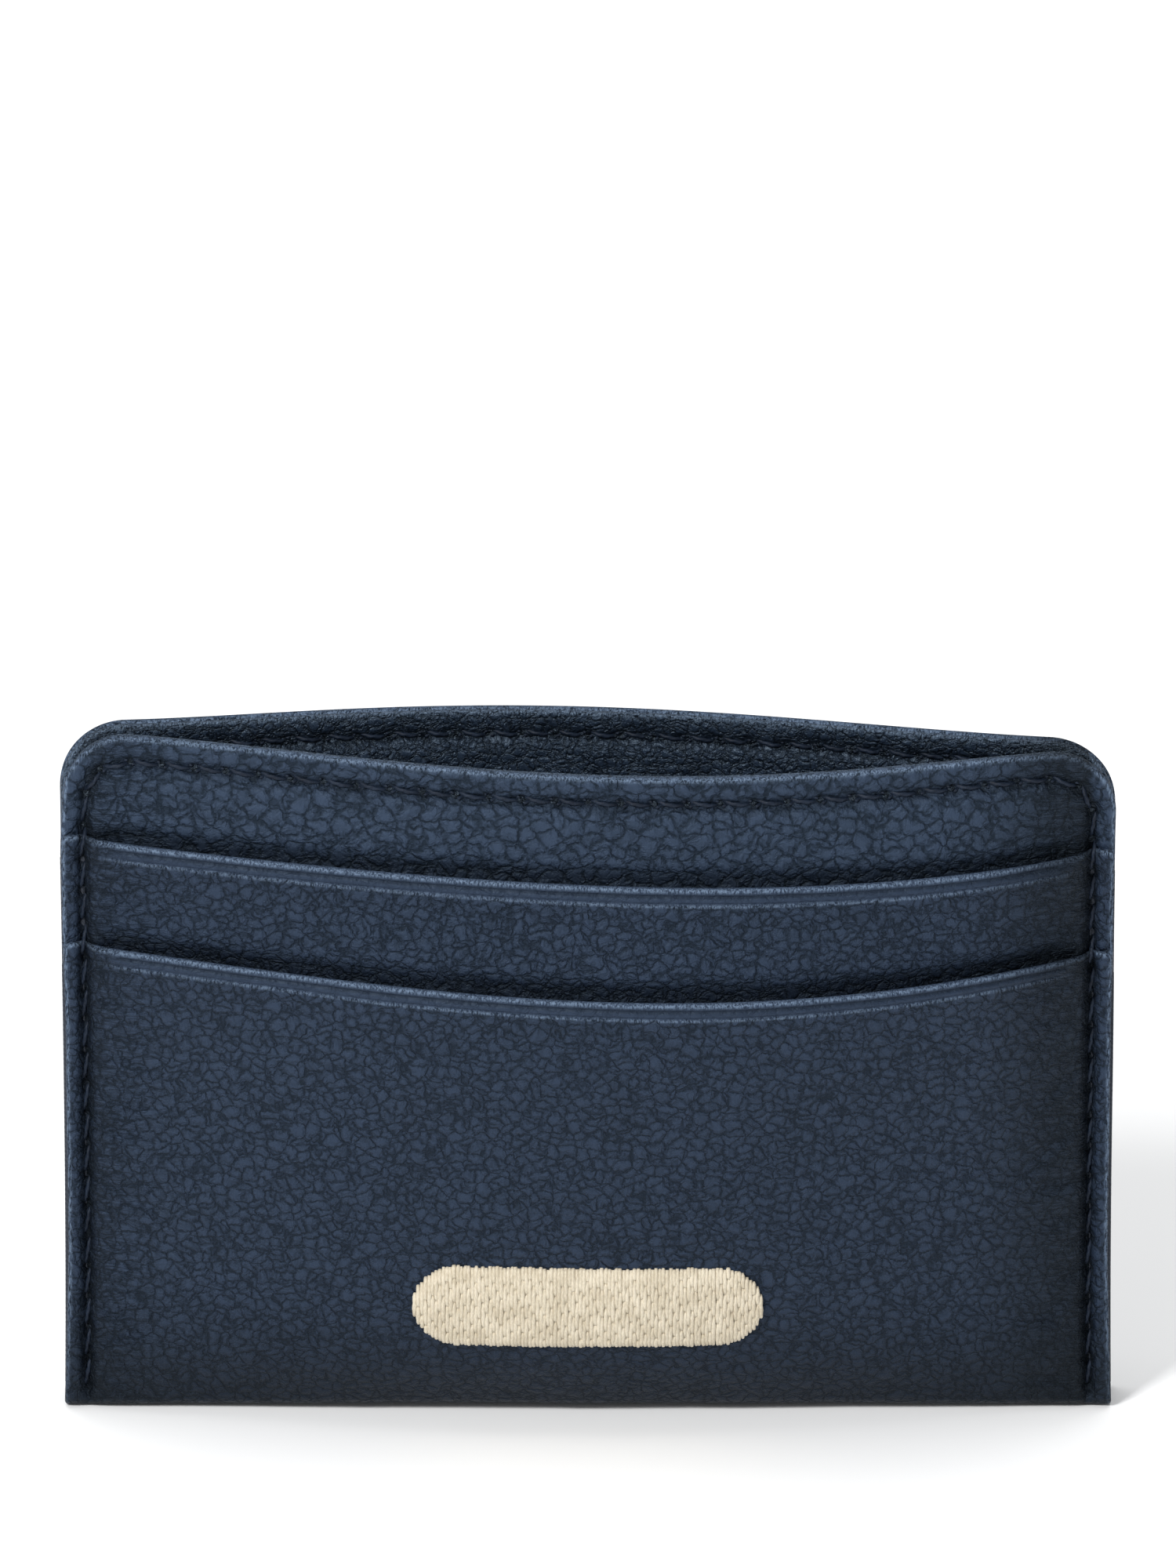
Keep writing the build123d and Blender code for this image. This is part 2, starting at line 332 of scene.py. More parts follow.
def shading(side, level, x, z, gap):
    """Painted shade near the seams, the fold and the mouths: the colour is darkened towards the
    side seams (more on the right), towards the bottom fold and just above each mouth; and how much
    the leather is drawn towards the side seams."""
    body = ease(gap, SEAM_INSET, 2.9)
    share = np.where(x > 0, RIGHT_PAINTED_SHADE, LEFT_PAINTED_SHADE)
    reach = np.where(x > 0, RIGHT_REACH, LEFT_REACH)
    shade = 1 - body * share * (1 - ease(gap, 2.5, reach))
    shade = shade * (1 - FOLD_PAINTED_SHADE + FOLD_PAINTED_SHADE * ease(z, -3, FOLD_REACH))
    for mouth, lip in ((1, LOWER_LIP), (0, UPPER_LIP)):
        if level <= mouth:
            over = z - top_line(side, lip, x)
            shade = shade * (1 - MOUTH_PAINTED_SHADE * body * (1 - ease(over, 0.1, MOUTH_REACH)))
    pull = body * (1 - ease(gap, 3.0, 13.0))
    return shade, pull


def spread(sheet):
    """Unsewn sheets stop short of the sides: full width over their own."""
    return 1 if sheet.sewn else HALF_WIDTH / (HALF_WIDTH - sheet.narrow)


def above_fold(z):
    """0 on the bottom fold, where the seams leave no mark, and 1 above it."""
    return ease(z, 0.3, 2.4)


def middle_y(sheet, side, x, z, depth):
    """The stack is pressed at the side seams and pushed outwards between them."""
    gap = HALF_WIDTH - np.abs(x)
    below_rim = 1 - ease(z, RIM - 9, RIM - 1)
    stack = 1 - SQUEEZE * hill(gap, SEAM_INSET, 0.55) * below_rim * above_fold(z)
    push = bulge(side, x, z) + dips(side, sheet.level, x, z)
    push = push + SPLAY[side] * ease(z, RIM - 10, RIM)
    swell = PUFF * below_rim * ease(z, -1, 7)
    push = push + swell * (1 - np.exp(-np.maximum(gap - SEAM_INSET, 0) / PUFF_REACH))
    lift = np.sqrt(np.maximum(bulge(side, x, z + depth), 0) / 8)
    push = push + sheet.gape * lift * np.exp(-depth / GAPE_REACH)
    return side * (sheet.middle * stack + push) + lean(x, z)


def half_thickness(sheet, depth, edge):
    """Swollen at the upper edge, and rounded off to nothing at every edge."""
    half = sheet.half * (1 + (sheet.swell - 1) * (1 - ease(depth, 1.2, 4.5)))
    return half * np.sqrt(np.maximum(0, 1 - (1 - np.clip(edge / (1.3 * half), 0, 1)) ** 2))


def sewn_skin(sheet, side, x, z, seam_gap, outline, rim):
    """What the seams do: relief, and the share of colour left after painted shade in the seam
    valley and at the needle holes. A valley with a bead outside it, pits at the holes, puckers
    between them, a puffed rim and wrinkles."""
    inset = SEAM_INSET + (RIM_SEAM_INSET - SEAM_INSET) * rim
    inside = np.maximum(seam_gap - inset, 0)
    near = nearest(HOLES[side], x, z)
    groove = above_fold(z) * hill(seam_gap, inset + 0.1, 0.6)
    bead = above_fold(z) * hill(seam_gap, 1.05, 0.6)
    puffed = rim * (1 - np.exp(-inside / 1.6)) * (1 - ease(outline, 4, 9))
    relief = SEAM_BEAD * bead - SEAM_VALLEY * groove
    relief = relief - RIM_VALLEY * rim * hill(seam_gap, inset, 0.55) + RIM_PUFF * puffed
    relief = relief + PUCKER * hill(nearest(PUCKERS[side], x, z), 0, 0.85)
    relief = relief - HOLE_PIT * hill(near, 0, 0.5) - HOLE_HOLLOW * hill(near, 0, 1.1)
    relief = relief - creases(sheet, side, x, z) * ease(inside, 0.2, 1.5)
    # Painted shade: the colour darkens in the seam valley and at each needle hole.
    return relief, (1 - (0.78 - 0.4 * rim) * groove) * (1 - 0.8 * hill(near, 0, 0.6))


def tooled_lip(gap, depth):
    """Grooves under a slot's edge: relief, calm, edge wear with a painted highlight along the
    ridge, and the share of colour left after painted shade in the first groove.
    """
    clear = ease(gap, 3.0, 6.5)
    relief = -clear * sum(deep * hill(depth, spot, wide) for spot, deep, wide in LIP_GROOVES)
    calm = 1 - 0.75 * clear * (1 - ease(depth, 1.4, 1.8))
    # A light line along the ridge: wear and a painted highlight.
    wear = 0.75 * clear * hill(depth, LIP_RIDGE, 0.13)
    # Painted shade darkens the first groove.
    return relief, calm, wear, 1 - 0.45 * clear * hill(depth, 0.8, 0.2)


def skin(sheet, side, x, depth):
    """The sheet at x and at a depth below its upper edge: height, middle y, half thickness,
    relief of the visible skin, and marks for the material."""
    z = top_line(side, sheet.top, x) - depth
    gap = HALF_WIDTH - np.abs(x)
    rounded = sheet.corner == RIM_CORNER
    outline = edge_gap(x * spread(sheet), depth, sheet.corner)
    seam_gap = outline if rounded else gap
    edge = np.minimum(outline, z - sheet.bottom)
    middle = middle_y(sheet, side, x, z, depth)
    half = half_thickness(sheet, depth, edge)

    relief = WAVES * ripple(x / 9, z / 6, sheet.seed)
    relief = relief + SMALL_WAVES * ripple(x / 3.6, z / 2.8, 20 + sheet.seed)
    relief = relief * ease(seam_gap, 2.5, 6)
    calm = np.ones_like(x)
    # A light line along every edge: edge wear and a painted highlight on the rounded edge.
    wear = 0.9 * hill(edge, 0.22, 0.2)
    # Painted shade near the seams, the fold and the mouths.
    shade, pull = shading(side, sheet.level, x, z, gap)
    if sheet.sewn:
        rim = ease(gap - depth, -2.0, 2.0) * rounded
        # The second value is the share of colour left after painted shade in the seam valley and at
        # the holes.
        drawn, left = sewn_skin(sheet, side, x, z, seam_gap, outline, rim)
        relief = relief + drawn
        shade = shade * left
    if sheet.lip:
        # Painted highlight and wear on the lip ridge, painted shade in the first groove.
        tooled, calm, worn_highlight, left = tooled_lip(gap, depth)
        relief = relief + tooled
        wear = wear + worn_highlight
        shade = shade * left
    if sheet.facing < 0:
        relief = relief + 0.20 * ripple(x / 1.7, z / 5.5, 31) * ease(edge, 0.3, 1.5)
        relief = relief + 0.14 * ripple(x / 2.6, z / 1.7, 33) * ease(edge, 1.0, 3.5)
    if sheet.cover:
        relief = relief * ease(z - top_line(side, sheet.cover, x), -3.0, -0.6)
    relief = relief * ease(edge, 0, 0.35)
    # Marks: calm, painted shade, drawn leather, and edge wear with a painted highlight.
    marks = {"calm": calm, "wear": wear, "shade": shade, "pull": pull}
    return z, middle, half, relief, marks


def margin(sheet, side, x, z):
    """Real x of a point: sides drawn in, the front's top left corner shifted, and each sewn
    sheet cut a little differently."""
    drawn = x * side_scale(z) - RIGHT_PULL * ease(z, 35, 60) * ease(x, 25, 50)
    if side == FRONT:
        drawn = drawn + CORNER_SHIFT * ease(z, RIM - 13, RIM - 2) * ease(-x, 25, 50)
    if not sheet.sewn:
        return drawn
    cut = sheet.narrow + UNEVEN_CUT * ripple(z / 6, z / 31, 40 + sheet.seed)
    cut = cut * ease(z, -1, 14)
    return drawn - np.sign(x) * cut * ease(np.abs(x), SEAM_X + 0.3, HALF_WIDTH)


def place(sheet, side, x, z, proud=0.0):
    """Points on the visible skin of a sheet, at height z."""
    depth = top_line(side, sheet.top, x) - z
    z, middle, half, relief, _ = skin(sheet, side, x, depth)
    y = middle + side * sheet.facing * (half + relief + proud)
    return np.stack([margin(sheet, side, x, z), y, z], -1)


def outside(side, x, z, proud=0.0):
    """Points on whichever sheet is outermost at x and height z."""
    wrap, pocket, panel = (place(sheet, side, x, z, proud) for sheet in (WRAP, UPPER_POCKET, PANEL))
    under_lower = z < top_line(side, LOWER_LIP, x) - 0.1
    under_upper = z < top_line(side, UPPER_LIP, x) - 0.1
    return np.where(under_lower[..., None], wrap, np.where(under_upper[..., None], pocket, panel))


# ------------------------------------------------------------------ grids
# Distances from an edge: fine at the rounded edge and at the seam, or at the lip's grooves.
EDGE_STEPS = np.array(
    [0, 0.06, 0.14, 0.24, 0.36, 0.5, 0.68, 0.88, 1.1, 1.32, 1.52, 1.7, 1.86, 2.0, 2.12, 2.24,
     2.36, 2.48, 2.62, 2.78, 2.96, 3.16, 3.4, 3.7, 4.05, 4.5, 5.0, 5.5, 6.0, RIM_CORNER]
)
LIP_STEPS = np.array(
    [0, 0.05, 0.11, 0.18, 0.26, 0.35, 0.45, 0.54, 0.62, 0.69, 0.75, 0.81, 0.87, 0.95, 1.06, 1.18,
     1.29, 1.38, 1.45, 1.51, 1.57, 1.66, 1.8, 2.0, 2.3, 2.7, 3.15, 3.6]
)
COARSE_STEPS = np.array([0, 0.1, 0.3, 0.7, 1.3, 2.2, 3.4, 5.0, RIM_CORNER])
ROW_STEP = STITCH_PITCH / 6
FOLD_ROWS = 11


def columns(edge_steps, spacing):
    inner = HALF_WIDTH - RIM_CORNER
    middle = np.linspace(-inner, inner, 1 + round(2 * inner / spacing))[1:-1]
    left = -HALF_WIDTH + edge_steps
    return np.concatenate([left, middle, -left[::-1]])


FINE_COLUMNS = columns(EDGE_STEPS, RIM_PITCH / 4)
COARSE_COLUMNS = columns(COARSE_STEPS, 2.4)


def depths(near_top, top, low):
    """Depths below an upper edge: dense near it, then in step with the seam's holes."""
    start = top - near_top[-1] - 0.3
    first = SEAM_BASE + math.floor((start - SEAM_BASE) / ROW_STEP) * ROW_STEP
    return np.concatenate([near_top, top - np.arange(first, low, -ROW_STEP)])


def fade_out(steps, end):
    """Finish a run of depths at end with wide steps and a closed edge."""
    more = np.arange(steps[-1] + 2.6, end - 1.5, 2.6)
    return np.concatenate([steps, more, end - np.array([0.5, 0.2, 0.06, 0.0])])


def bend_corner(x, depth, radius):
    """Turn the square top corners of a grid into round ones."""
    gap = HALF_WIDTH - np.abs(x)
    a = 1 - np.clip(gap / radius, 0, 1)
    b = 1 - np.clip(depth / radius, 0, 1)
    reach = np.maximum(a, b)
    small = np.minimum(a, b) / np.maximum(reach, 1e-9)
    turn = np.where(a >= b, small * math.pi / 4, math.pi / 2 - small * math.pi / 4)
    corner = (gap < radius) & (depth < radius)
    round_x = np.sign(x) * (HALF_WIDTH - radius + radius * reach * np.cos(turn))
    round_depth = radius - radius * reach * np.sin(turn)
    return np.where(corner, round_x, x), np.where(corner, round_depth, depth)


# ------------------------------------------------------------------ mesh building
def finish_piece(name, points, faces, material, marks=()):
    mesh = bpy.data.meshes.new(name)
    mesh.from_pydata((points.reshape(-1, 3) * MM).tolist(), [], faces)
    for mark, values in dict(marks).items():
        layer = mesh.attributes.new(mark, "FLOAT", "POINT")
        layer.data.foreach_set("value", values.astype(np.float32))
    work = bmesh.new()
    work.from_mesh(mesh)
    bmesh.ops.recalc_face_normals(work, faces=work.faces)
    work.to_mesh(mesh)
    work.free()
    mesh.materials.append(material)
    mesh.polygons.foreach_set("use_smooth", [True] * len(mesh.polygons))
    piece = bpy.data.objects.new(name + "_look", mesh)
    bpy.context.scene.collection.objects.link(piece)
    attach(piece, "root")
    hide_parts(name)
    return piece


def shell(name, outer, inner, marks, material):
    """A closed sheet from two grids of points that share their border."""
    rows, cols = outer.shape[:2]
    outer_index = np.arange(rows * cols).reshape(rows, cols)
    inner_index = outer_index.copy()
    hidden = (rows - 2) * (cols - 2)
    inner_index[1:-1, 1:-1] = rows * cols + np.arange(hidden).reshape(rows - 2, cols - 2)
    points = np.concatenate([outer.reshape(-1, 3), inner[1:-1, 1:-1].reshape(-1, 3)])
    faces = []
    for index in (outer_index, inner_index[:, ::-1]):
        ring = (index[:-1, :-1], index[:-1, 1:], index[1:, 1:], index[1:, :-1])
        faces.append(np.stack([part.ravel() for part in ring], 1))
    both = {key: np.concatenate([grid.ravel(), grid[1:-1, 1:-1].ravel()])
            for key, grid in marks.items()}
    return finish_piece(name, points, np.concatenate(faces).tolist(), material, both)


def sheet_grid(sheet, side, grid_x, grid_depth, low):
    """Grid of x and depth whose last row is level, at height low."""
    x, depth = np.meshgrid(grid_x, grid_depth)
    x, depth = bend_corner(x, depth, sheet.corner)
    x = x / spread(sheet)
    return x, depth * (top_line(side, sheet.top, x) - low) / grid_depth[-1]


def wall(name, sheet, side, grid_x, grid_depth, material):
    """One upright sheet as a mesh."""
    x, depth = sheet_grid(sheet, side, grid_x, grid_depth, sheet.bottom)
    z, middle, half, relief, marks = skin(sheet, side, x, depth)
    real_x = margin(sheet, side, x, z)
    out = side * sheet.facing
    outer = np.stack([real_x, middle + out * (half + relief), z], -1)
    inner = np.stack([real_x, middle - out * half, z], -1)
    return shell(name, outer, inner, marks, material)


def wrap_side(side):
    """Grids of the wrap from one lip down to the middle of the bottom fold."""
    level = depths(LIP_STEPS, LOWER_LIP, FOLD_RADIUS + 0.9)
    low = WRAP.top - level[-1] + base_line(FINE_COLUMNS) - base_line(HALF_WIDTH)
    x, depth = sheet_grid(WRAP, side, FINE_COLUMNS, level, low)
    z, middle, half, relief, marks = skin(WRAP, side, x, depth)
    real_x = margin(WRAP, side, x, z)
    outer = [np.stack([real_x, middle + side * (half + relief), z], -1)]
    inner = [np.stack([real_x, middle - side * half, z], -1)]

    flat_rows = np.array([0.3, 0.65, 1.0])
    turn = np.concatenate([np.linspace(0.12, 1, FOLD_ROWS), np.ones(3)]) * math.pi / 2
    inward = np.concatenate([np.zeros(FOLD_ROWS), flat_rows])
    x, turn = np.meshgrid(FINE_COLUMNS, turn)
    inward = np.repeat(inward[:, None], x.shape[1], 1)
    arc = FOLD_RADIUS - WRAP.half
    height = base_line(x) + WRAP.half + arc * (1 - np.sin(turn))
    z, middle, half, relief, fold_marks = skin(WRAP, side, x, top_line(side, WRAP.top, x) - height)
    middle = (middle - side * arc * (1 - np.cos(turn))) * (1 - inward)
    out = half + relief * (0.35 + 0.65 * np.cos(turn))
    real_x = margin(WRAP, side, x, z)
    flat, down = np.cos(turn), np.sin(turn)
    outer.append(np.stack([real_x, middle + side * out * flat, z - out * down], -1))
    inner.append(np.stack([real_x, middle - side * half * flat, z + half * down], -1))
    marks = {key: np.concatenate([marks[key], fold_marks[key]]) for key in marks}
    return np.concatenate(outer), np.concatenate(inner), marks


def tubes(name, paths, outward, radii, material, sides=10, twist=0.0, lobe=0.0):
    """Many short threads with rings of the given radii, in one mesh. A lobe makes two plies."""
    count, steps = paths.shape[:2]
    forward = unit(np.gradient(paths, axis=1))
    across = unit(np.cross(forward, outward))
    up = np.cross(across, forward)
    around = np.linspace(0, 2 * math.pi, sides, endpoint=False)
    lengths = np.linalg.norm(np.diff(paths, axis=1), axis=2)
    along = np.concatenate([np.zeros((count, 1)), np.cumsum(lengths, 1)], 1)
    ply = 1 - lobe + lobe * np.cos(2 * (around - twist * along[..., None]))
    reach = (radii[None, :, None] * ply)[..., None]
    ring = np.cos(around)[:, None] * across[:, :, None] + np.sin(around)[:, None] * up[:, :, None]
    points = paths[:, :, None] + reach * ring
    index = np.arange(count * steps * sides).reshape(count, steps, sides)
    turned = np.roll(index, -1, 2)
    quads = np.stack([index[:, :-1], turned[:, :-1], turned[:, 1:], index[:, 1:]], -1)
    faces = quads.reshape(-1, 4).tolist() + index[:, 0, ::-1].tolist() + index[:, -1].tolist()
    return finish_piece(name, points, faces, material)


# ------------------------------------------------------------------ node materials
class Recipe:
    """Adds nodes to one new material."""

    def __init__(self, name):
        self.material = bpy.data.materials.new(name)
        self.material.use_nodes = True
        self.tree = self.material.node_tree
        self.shader = self.tree.nodes["Principled BSDF"]

    def feed(self, socket, value):
        if isinstance(value, bpy.types.NodeSocket):
            self.tree.links.new(value, socket)
        else:
            socket.default_value = value

    def node(self, kind, values=(), **settings):
        made = self.tree.nodes.new("ShaderNode" + kind)
        for key, value in settings.items():
            setattr(made, key, value)
        for socket, value in dict(values).items():
            self.feed(made.inputs[socket], value)
        return made

    def math(self, operation, *values):
        return self.node("Math", enumerate(values), operation=operation).outputs[0]

    def vector(self, operation, *values):
        return self.node("VectorMath", enumerate(values), operation=operation).outputs[0]

    def step(self, value, low, high, start=0.0, end=1.0):
        """start below low, end above high, smooth between."""
        ranges = {"Value": value, "From Min": low, "From Max": high, "To Min": start, "To Max": end}
        return self.node("MapRange", ranges, interpolation_type="SMOOTHSTEP").outputs[0]

    def total(self, *parts):
        """The sum of (factor, value) pairs."""
        result = 0.0
        for factor, value in parts:
            result = self.math("MULTIPLY_ADD", value, factor, result)
        return result

    def blend(self, factor, first, second):
        values = {0: factor, 6: first, 7: second}
        return self.node("Mix", values, data_type="RGBA", clamp_factor=True).outputs[2]

    def mark(self, name):
        return self.node("Attribute", attribute_name=name).outputs["Fac"]

    def position(self, x=1.0, y=1.0, z=1.0):
        """Object coordinates in millimetres, times a factor for each axis."""
        spot = self.node("TexCoord").outputs["Object"]
        return self.vector("MULTIPLY", spot, (x / MM, y / MM, z / MM))

    def noise(self, where, scale, detail=2.0, rough=0.5, output=0):
        values = {"Vector": where, "Scale": scale, "Detail": detail, "Roughness": rough}
        return self.node("TexNoise", values).outputs[output]

    def cells(self, where, scale):
        """Distance from the nearest wall between random cells."""
        values = {"Vector": where, "Scale": scale}
        return self.node("TexVoronoi", values, feature="DISTANCE_TO_EDGE").outputs["Distance"]

    def warped(self, amount, scale):
        spot = self.position()
        swirl = self.noise(spot, scale, output=1)
        return self.vector("MULTIPLY_ADD", swirl, (amount,) * 3, spot)

    def bump(self, height, depth):
        values = {"Height": height, "Distance": depth * MM, "Strength": 1.0}
        self.feed(self.shader.inputs["Normal"], self.node("Bump", values).outputs[0])

    def finish(self, color, roughness, **constants):
        self.feed(self.shader.inputs["Base Color"], color)
        self.feed(self.shader.inputs["Roughness"], roughness)
        for key, value in constants.items():
            self.shader.inputs[key.replace("_", " ")].default_value = value
        return self.material


def pebbled_leather(name, cell, folds, colors, gloss=0.36, level=0.28):
    """Grained leather: pebbles with a net of finer cells between them, fine hairs, broad
    folds, and wrinkles across where it is drawn to the side seams."""
    dark, base, light, worn_highlight = colors
    make = Recipe(name)
    calm, wear, shade, pull = (make.mark(word) for word in ("calm", "wear", "shade", "pull"))
    spot = make.position()
    swirl = make.noise(spot, 0.5, output=1)
    eddy = make.noise(spot, 2.4, output=1)
    bent = make.vector("MULTIPLY_ADD", swirl, (1.6,) * 3, spot)
    bent = make.vector("MULTIPLY_ADD", eddy, (0.35,) * 3, bent)
    bent = make.vector("MULTIPLY", bent, (1.0, 1.0, 1.25))
    width = make.step(make.noise(spot, 0.6, 3.0), 0.3, 0.7, 0.09, 0.19)
    pebble = make.cells(bent, cell)
    crease = make.step(pebble, 0.0, width, 1.0, 0.0)
    pillow = make.step(pebble, 0.0, 0.45)
    between = make.step(pebble, 0.10, 0.42, 1.0, 0.2)
    small = make.step(make.cells(bent, cell * 2.0), 0.0, 0.20, 1.0, 0.0)
    small = make.math("MULTIPLY", small, between)
    tiny = make.step(make.cells(bent, cell * 3.6), 0.0, 0.24, 1.0, 0.0)
    tiny = make.math("MULTIPLY", tiny, between)
    fold = make.step(make.cells(make.vector("MULTIPLY_ADD", swirl, (4.0,) * 3, spot), cell * 0.33),
                     0.0, 0.10, 1.0, 0.0)
    hair = make.noise(make.position(6.0, 6.0, 1.3), 1.0, 4.0, 0.62)
    patch = make.noise(spot, 0.07, 3.0)
    ridge = make.math("ABSOLUTE", make.math("SUBTRACT", make.noise(
        make.position(0.32, 0.32, 1.9), 1.0, 3.0, 0.6), 0.5))
    wrinkle = make.math("MULTIPLY", make.step(ridge, 0.0, 0.07, 1.0, 0.0), pull)
    grain = make.total((-0.40, crease), (0.26, pillow), (-0.28, small), (-0.15, tiny),
                       (-folds, fold), (0.36, hair), (-0.75, wrinkle))
    make.bump(make.math("MULTIPLY", grain, make.step(calm, 0.0, 1.0, 0.22, 1.0)), 0.20)
    lines = make.total((0.66, crease), (0.36, small), (0.14, tiny), (0.24, fold), (0.3, wrinkle))
    tone = make.blend(make.step(patch, 0.35, 0.68, 0.0, 0.4), base, light)
    tone = make.blend(make.math("MULTIPLY", lines, calm), tone, dark)
    # Worn edges and the lip ridge lightened towards a bluish tone: wear and a painted highlight.
    tone = make.blend(make.math("MULTIPLY", wear, make.step(hair, 0.40, 0.6)), tone, worn_highlight)
    # Painted shade: the shade mark darkens the colour towards black.
    tone = make.blend(shade, (0.0, 0.0, 0.0, 1.0), tone)
    rough = make.total((0.24, hair), (0.10, crease), (0.08, patch), (gloss, 1.0))
    return make.finish(tone, rough, Specular_IOR_Level=level, Specular_Tint=rgb(0.62, 0.8, 1.0))


def slot_cloth(name, dark, light, pitch):
    """Fine twill for the slot linings."""
    make = Recipe(name)
    axes = make.node("SeparateXYZ", {0: make.position()})
    run = make.math("ADD", axes.outputs["X"], axes.outputs["Z"])
    wave = make.math("SINE", make.math("MULTIPLY", run, 2 * math.pi / pitch))
    fuzz = make.noise(make.position(), 5.0, 3.0)
    rib = make.total((0.35, wave), (0.5, fuzz), (0.25, 1.0))
    make.bump(rib, 0.04)
    return make.finish(make.blend(rib, dark, light), 0.85, Sheen_Weight=0.2)


def fibre_board(name, dark, light):
    """Pressed fibre board or non-woven cloth: short fibres in all directions."""
    make = Recipe(name)
    fibres = make.noise(make.warped(1.5, 0.8), 2.5, 4.0, 0.7)
    make.bump(fibres, 0.03)
    shade = make.blend(make.step(fibres, 0.3, 0.7), dark, light)
    return make.finish(shade, 0.9, Specular_IOR_Level=0.2)


def yarn(name, dark, light, roughness, sheen):
    """Twisted yarn with fine fibres."""
    make = Recipe(name)
    fibres = make.noise(make.position(9.0, 9.0, 3.0), 1.0, 3.0, 0.6)
    uneven = make.noise(make.position(), 0.5, 2.0)
    make.bump(fibres, 0.02)
    tone = make.step(make.total((0.6, fibres), (0.4, uneven)), 0.35, 0.65)
    return make.finish(make.blend(tone, dark, light), roughness, Sheen_Weight=sheen,
                       Specular_IOR_Level=0.2)


def rgb(*values):
    return (*values, 1.0)


# Each leather's fourth colour is the light bluish tone of edge wear and painted highlights.
LEATHER = pebbled_leather(
    "pebbled_leather", 0.80, 0.16,
    (rgb(0.003, 0.006, 0.013), rgb(0.0178, 0.028, 0.052), rgb(0.021, 0.033, 0.060),
     rgb(0.13, 0.18, 0.26)),
)
PANEL_LEATHER = pebbled_leather(
    "panel_leather", 0.60, 0.22,
    (rgb(0.004, 0.008, 0.016), rgb(0.024, 0.0375, 0.0665), rgb(0.028, 0.0435, 0.076),
     rgb(0.13, 0.18, 0.26)),
)
LINING_LEATHER = pebbled_leather(
    "lining_leather", 0.95, 0.2,
    (rgb(0.004, 0.007, 0.013), rgb(0.018, 0.029, 0.050), rgb(0.023, 0.037, 0.062),
     rgb(0.10, 0.14, 0.20)), gloss=0.20, level=0.55,
)
SLOT_FABRIC = slot_cloth("slot_fabric", rgb(0.014, 0.018, 0.028), rgb(0.03, 0.038, 0.055), 0.5)
BOARD = fibre_board("stiffener_board", rgb(0.16, 0.13, 0.10), rgb(0.30, 0.26, 0.20))
BACKING_CLOTH = fibre_board("backing_fabric", rgb(0.5, 0.5, 0.48), rgb(0.75, 0.74, 0.70))
NAVY_THREAD = yarn("seam_thread", rgb(0.003, 0.006, 0.013), rgb(0.011, 0.019, 0.036), 0.55, 0.0)
CREAM_THREAD = yarn("embroidery_thread", rgb(0.52, 0.45, 0.33), rgb(0.70, 0.63, 0.50), 0.5, 0.15)


# ------------------------------------------------------------------ leather and linings
for word, side in SIDES.items():
    wall(f"{word}_panel", PANEL, side, FINE_COLUMNS,
         fade_out(depths(EDGE_STEPS, RIM, UPPER_LIP - 4), RIM - PANEL.bottom),
         PANEL_LEATHER)
    wall(f"{word}_centre_lining", LINING, side, FINE_COLUMNS,
         fade_out(depths(EDGE_STEPS, LINING.top, 50), LINING.top - LINING.bottom),
         LINING_LEATHER)
    wall(f"{word}_upper_pocket", UPPER_POCKET, side, FINE_COLUMNS,
         fade_out(depths(LIP_STEPS, UPPER_LIP, LOWER_LIP - 4), UPPER_LIP - UPPER_POCKET.bottom),
         LEATHER)
    for node, sheet, material, slot in (
        ("panel_stiffener", STIFFENER, BOARD, "stiffener_board"),
        ("upper_slot_lining", UPPER_SLOT_LINING, SLOT_FABRIC, "slot_fabric"),
        ("lower_slot_lining", LOWER_SLOT_LINING, SLOT_FABRIC, "slot_fabric"),
    ):
        piece = wall(f"{word}_{node}", sheet, side, COARSE_COLUMNS,
                     fade_out(COARSE_STEPS, sheet.top - sheet.bottom), material)

front_half, back_half = wrap_side(FRONT), wrap_side(BACK)
outer, inner = (np.concatenate([front_half[k], back_half[k][-2::-1]]) for k in (0, 1))
marks = {key: np.concatenate([values, back_half[2][key][-2::-1]])
         for key, values in front_half[2].items()}
shell("lower_pocket_wrap", outer, inner, marks, LEATHER)


# ------------------------------------------------------------------ seams
THREAD_RUN = np.linspace(0, 1, 17)
THREAD_RADIUS = 0.25
THREAD_RADII = THREAD_RADIUS * (0.45 + 0.55 * np.sin(math.pi * THREAD_RUN) ** 0.35)
THREAD_RISE = 0.14


def stitch_paths(holes, surface, slant, sink=0.34):
    """Threads from hole to hole on a surface, slightly slanted, with both ends sunk."""
    starts, run = holes[:-1, None], np.diff(holes, axis=0)[:, None]
    aside = np.stack([run[..., 1], -run[..., 0]], -1) * slant / STITCH_PITCH
    t = THREAD_RUN[None, :, None]
    line = starts + run * (0.07 + 0.86 * t) + aside * (1 - 2 * t)
    points = surface(line[..., 0], line[..., 1])
    outward = unit(surface(line[..., 0], line[..., 1], 1.0) - points)
    y = points[..., 1]
    way = outward[:, :1, 1]
    straight = y[:, :1] + (y[:, -1:] - y[:, :1]) * THREAD_RUN
    arch = np.sin(math.pi * THREAD_RUN) ** 0.55
    laid = np.maximum(way * y, way * straight)
    points[..., 1] = way * (laid + THREAD_RISE * arch - sink * (1 - arch))
    return points, outward


def on_outside(side):
    return lambda x, z, proud=0.0: outside(side, x, z, proud)


def on_sheet(sheet, side, sunk=0.0):
    return lambda x, z, proud=0.0: place(sheet, side, x, z, proud - sunk)


def sew(name, *rows, thickness=1.0):
    paths, outward = (np.concatenate(part) for part in zip(*rows))
    tubes(name, paths, outward, THREAD_RADII * thickness, NAVY_THREAD, sides=12,
          twist=3.6, lobe=0.13)


